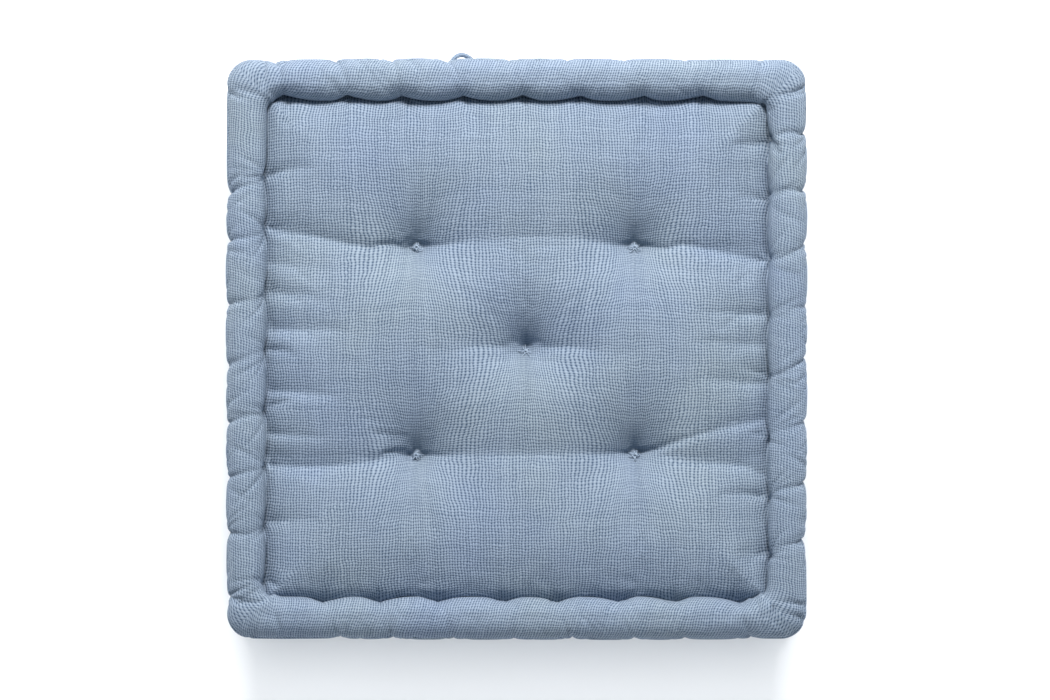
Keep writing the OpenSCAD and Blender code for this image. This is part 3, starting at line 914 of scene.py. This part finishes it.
def cloth_piece(name, skin, form, normals, number, seams):
    """One sewn piece of the skin, its edges turned in along the seams."""
    faces = [f for f, p in zip(skin.faces, skin.piece) if p == number]
    uvs = [w for w, p in zip(skin.weave, skin.piece) if p == number]
    used = np.unique(np.array(faces))
    place = {int(k): i for i, k in enumerate(used)}
    points = [form[k] for k in used]
    faces = [[place[int(k)] for k in f] for f in faces]
    for loop, flip in seams:
        rings = [[place[int(k)] for k in loop]]
        for depth in (1.4 * MM, 4 * MM):
            rings.append(list(range(len(points), len(points) + len(loop))))
            points += [form[k] - normals[k] * depth for k in loop]
        count = len(loop)
        step = 2 * PANEL_CUT / skin.cells
        for near, far, out in zip(rings, rings[1:], (0, 1)):
            for k in range(count):
                after = (k + 1) % count
                face = [near[k], near[after], far[after], far[k]]
                uv = [(k * step, -out * step), ((k + 1) * step, -out * step),
                      ((k + 1) * step, -(out + 1) * step), (k * step, -(out + 1) * step)]
                if flip:
                    face.reverse()
                    uv.reverse()
                faces.append(face)
                uvs.append(uv)
    piece = mesh_object(name, points, faces, uvs, CLOTH)
    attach(piece, "cushion")
    return piece


def sewn(tube, name, node, material=THREAD):
    """The finished piece of thread on the cushion, which replaces its CAD node."""
    made = tube.build(name, material)
    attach(made, "cushion")
    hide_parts(node)


def seam_thread(name, form, normals, loop, node):
    """Thread that runs just under the cloth along a seam."""
    tube = Tubes()
    tube.add([form[k] - normals[k] * 1.9 * MM for k in loop], 0.4 * MM, 6, closed=True)
    sewn(tube, name, node)


def thread_dash(tube, place, ahead, out, length=6.5 * MM, radius=0.7 * MM):
    """One stitch's thread: out of the cloth, along it and back in."""
    path = []
    for t in np.linspace(-1, 1, 13):
        rise = radius * 0.7 - 2.6 * MM * abs(t) ** 3.5
        path.append(place + ahead * t * length / 2 + out * rise)
    tube.add(path, radius, 12, plies=2, twist=330.0)


def stitch_threads(name, form, normals, ends, node):
    """The visible thread of every stitch of one roll, in the panel's groove and under the roll."""
    tube = Tubes()
    for (side, _, _), pair in zip(STITCH_LIST, ends):
        _, ahead = side_axes(side)
        for k in pair:
            sway = np.array([*ahead, rng.uniform(-0.12, 0.12)])
            thread_dash(tube, form[k], sway / np.linalg.norm(sway), normals[k])
    sewn(tube, name, node)


def tuft(node, cloth):
    """A tuft: a waxed cord through the cushion, a flat knot at each end, loose ends on top."""
    x, y, low, high = TUFT_POINTS[node]
    top, bottom = high - KNOT_RISE, low + KNOT_HEIGHT
    tube = Tubes()
    tube.add([(x, y, z) for z in np.linspace(bottom - 1.2 * MM, top + 1.2 * MM, 9)], 0.8 * MM, 10,
             plies=3, twist=180.0)
    for z, up in ((top + 0.7 * MM, 1), (bottom - 0.7 * MM, -1)):
        for turn in range(3):
            tilt = rng.uniform(-0.3, 0.3, 2)
            ring = []
            for angle in np.linspace(0, 2 * math.pi, 17)[:-1]:
                reach = np.array([math.cos(angle), math.sin(angle)]) * (1.75 - 0.3 * turn) * MM
                lift = up * (turn * 0.55 * MM) + reach @ tilt
                ring.append((x + reach[0] + tilt[0] * MM, y + reach[1] + tilt[1] * MM, z + lift))
            tube.add(ring, 0.5 * MM, 8, plies=2, twist=300.0, closed=True)
    for k in range(7):
        angle = 2 * math.pi * k / 7 + rng.uniform(-0.4, 0.4)
        reach, turn = rng.uniform(3.4, 6.0) * MM, rng.uniform(-0.5, 0.5)
        end = np.array([x + math.cos(angle + turn) * reach, y + math.sin(angle + turn) * reach])
        rise = cloth[nearest(cloth[:, :2], end)[0], 2] + 0.8 * MM - top - 1.3 * MM
        line = []
        for t in np.linspace(0, 1, 8):
            out = (reach - 0.6 * MM) * t + 0.6 * MM
            line.append((x + math.cos(angle + turn * t) * out, y + math.sin(angle + turn * t) * out,
                         top + 1.3 * MM + rise * t + 1.1 * MM * math.sin(math.pi * t)))
        tube.add(line, 0.34 * MM, 8, plies=2, twist=380.0)
    sewn(tube, node + "_thread", node, TUFT_THREAD)


# ------------ the handle
# The route of its cord, as in the CAD but for a bow that stands out a little more: along the band
# from the left tack, out from the hinge line and up from it, in mm.
HANDLE_ROUTE = (
    (0, 0, 0), (1, 5.4, 0.3), (3, 10.4, 0.6), (6, 14, 0), (10, 15.6, -1.5), (14.5, 14.8, -4),
    (19, 11.6, -6.5), (23.5, 6.8, -9), (28, 2.8, -12), (35, 1.3, -15), (44, 0.6, -18),
    (54, 0.4, -19.5), (64, 0.5, -20), (74, 0.8, -18.5), (83, 1.2, -16), (91, 1.6, -12.5),
    (98, 1.8, -9), (104, 1.2, -5.5), (107.5, 0.4, -2.5), (108, 0, 0))
HANDLE_D = 3.6 * MM
HANDLE_SPAN = HANDLE_ROUTE[-1][0] * MM
HANDLE_START = HINGE - np.array([HANDLE_SPAN / 2, 0, 0])


def handle():
    """The handle's cord of rolled cloth, with a sewn eye at each end."""
    line = smooth_line([HANDLE_START + np.array(p) * MM for p in HANDLE_ROUTE], 1.2 * MM)
    tube = Tubes()
    tube.add(line, HANDLE_D / 2, 16)
    cord = tube.build("handle_cord_cloth", CORD_CLOTH)
    eyes = Tubes()
    for x in (0, HANDLE_SPAN):
        middle = HANDLE_START + np.array([x, 0, 0])
        barrel = [middle + np.array([t * 2.2 * MM, 0, 0]) for t in np.linspace(-1, 1, 9)]
        eyes.add(barrel, 1.9 * MM, 20, taper=0.35)
        for t in (-1.3 * MM, 0.0, 1.3 * MM):
            wrap = [middle + np.array([t, 1.95 * MM * math.cos(a), 1.95 * MM * math.sin(a)])
                    for a in np.linspace(0, 2 * math.pi, 25)[:-1]]
            eyes.add(wrap, 0.32 * MM, 8, plies=2, twist=300.0, closed=True)
    ends = eyes.build("handle_eyes", CORD_CLOTH)
    for piece in (cord, ends):
        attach(piece, "handle")
    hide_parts("handle_cord")


def handle_tack(name, node, x):
    """A bar tack on the band: close upright threads, and the bar of thread that the eye is on."""
    tube = Tubes()
    middle = HANDLE_START + np.array([x, 0, 0])
    wall = float(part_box(node)[0][1]) + 0.4 * MM
    height = 4 * MM
    for k in range(13):
        across = (k - 6) * 0.75 * MM
        reach = height / 2 * (1 - 0.12 * (abs(k - 6) / 6) ** 3) + rng.uniform(-0.15, 0.15) * MM
        path = [(middle[0] + across + rng.uniform(-0.05, 0.05) * MM, wall + 0.55 * MM * (1 - t ** 4),
                 middle[2] + t * reach) for t in np.linspace(-1, 1, 9)]
        tube.add(path, 0.42 * MM, 8, plies=2, twist=300.0)
    leg, bend = 3.4 * MM, 0.5 * MM
    bar = [(middle[0] + across, y, middle[2]) for across, y in (
        (-leg, wall), (-leg, middle[1] - 0.6 * MM), (-leg + bend, middle[1]),
        (leg - bend, middle[1]), (leg, middle[1] - 0.6 * MM), (leg, wall))]
    tube.add(smooth_line(bar, 0.5 * MM), 0.5 * MM, 10, plies=3, twist=300.0)
    sewn(tube, name, node)


def build_cushion():
    """The three covers, the threads of seams and rolls, and the tufts."""
    skin = Skin(1)
    form, stitched = cloth_form(skin)
    normals = point_normals(form, skin.faces)
    upper, lower = skin.rows[0], skin.rows[-1]
    for loop in (upper, lower):
        form[loop] -= normals[loop] * SEAM_DEPTH
    top = cloth_piece("top_cover", skin, form, normals, 0, [(upper, True)])
    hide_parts("top_panel", "top_wadding", "top_roll_filling")
    band = cloth_piece("band_cover", skin, form, normals, 1, [(upper, False), (lower, True)])
    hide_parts("side_band", "filling_core")
    base = cloth_piece("base_cover", skin, form, normals, 2, [(lower, False)])
    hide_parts("bottom_panel", "bottom_wadding", "bottom_roll_filling")
    seam_thread("top_seam_stitching", form, normals, upper, "top_seam_thread")
    seam_thread("base_seam_stitching", form, normals, lower, "bottom_seam_thread")
    stitch_threads("top_roll_threads", form, normals, stitched["top"], "top_roll_stitching")
    stitch_threads("bottom_roll_threads", form, normals, stitched["bottom"], "bottom_roll_stitching")
    for node in TUFTS:
        tuft(node, form[skin.top])


# ------------ floor, light, camera
def studio():
    """Pale floor that curves up into a round wall, and soft light from behind the cushion. The
    background lamp shines on floor and wall alone, which keeps them white."""
    points, faces = [(0.0, 0.0, 0.0)], []
    curve = [(FLOOR_R + WALL_BEND * (math.sin(a) - 1), WALL_BEND * (1 - math.cos(a)))
             for a in np.linspace(0, math.pi / 2, 13)] + [(FLOOR_R, WALL_TOP)]
    for radius, height in curve:
        points += [(radius * math.cos(a), radius * math.sin(a), height)
                   for a in np.linspace(0, 2 * math.pi, ROUND + 1)[:-1]]
    for k in range(ROUND):
        after = (k + 1) % ROUND
        faces.append((0, 1 + k, 1 + after))
        for ring in range(len(curve) - 1):
            near, far = 1 + ring * ROUND, 1 + (ring + 1) * ROUND
            faces.append((near + k, far + k, far + after, near + after))
    floor = mesh_object("floor", points, faces)
    paint = Nodes("floor_paint")
    speck = paint.noise(paint.tree.nodes.new("ShaderNodeTexCoord").outputs["Object"], 4.0)
    white = paint.ramp(speck, [(0.0, (0.92, 0.92, 0.92)), (1.0, (0.95, 0.95, 0.95))])
    paint.link(white, paint.shader.inputs["Base Color"])
    paint.shader.inputs["Roughness"].default_value = 0.9
    floor.data.materials.append(paint.material)
    world = bpy.data.worlds.new("studio")
    world.use_nodes = True
    world.node_tree.nodes["Background"].inputs["Color"].default_value = (*WORLD_COLOUR, 1)
    world.node_tree.nodes["Background"].inputs["Strength"].default_value = WORLD_LIGHT
    scene.world = world
    scene.view_settings.view_transform = "Standard"
    background = bpy.data.collections.new("background")
    background.objects.link(floor)
    for name, place, size, power in LIGHTS:
        lamp = bpy.data.lights.new(name, "AREA")
        lamp.shape = "RECTANGLE"
        lamp.size, lamp.size_y = size
        lamp.energy = power
        holder = bpy.data.objects.new(name, lamp)
        holder.location = place
        ahead = Vector((0, 0, 0.05)) - Vector(place)
        holder.rotation_euler = ahead.to_track_quat("-Z", "Y").to_euler()
        scene.collection.objects.link(holder)
        if name == "background":
            holder.light_linking.receiver_collection = background


def camera():
    """Camera straight above the cushion, as in the photograph."""
    lens = bpy.data.cameras.new("camera")
    lens.lens = 100
    lens.sensor_width = 36
    lens.clip_end = 50
    eye = bpy.data.objects.new("camera", lens)
    eye.location = CAMERA_PLACE
    eye.rotation_euler = (0, 0, 0)
    scene.collection.objects.link(eye)
    scene.camera = eye


camera()
handle()
handle_tack("handle_tack_left_threads", "handle_tack_left", 0)
handle_tack("handle_tack_right_threads", "handle_tack_right", HANDLE_SPAN)
build_cushion()
studio()

join = frame["nodes"]["band_join_thread"]
join.data.materials.clear()
join.data.materials.append(THREAD)
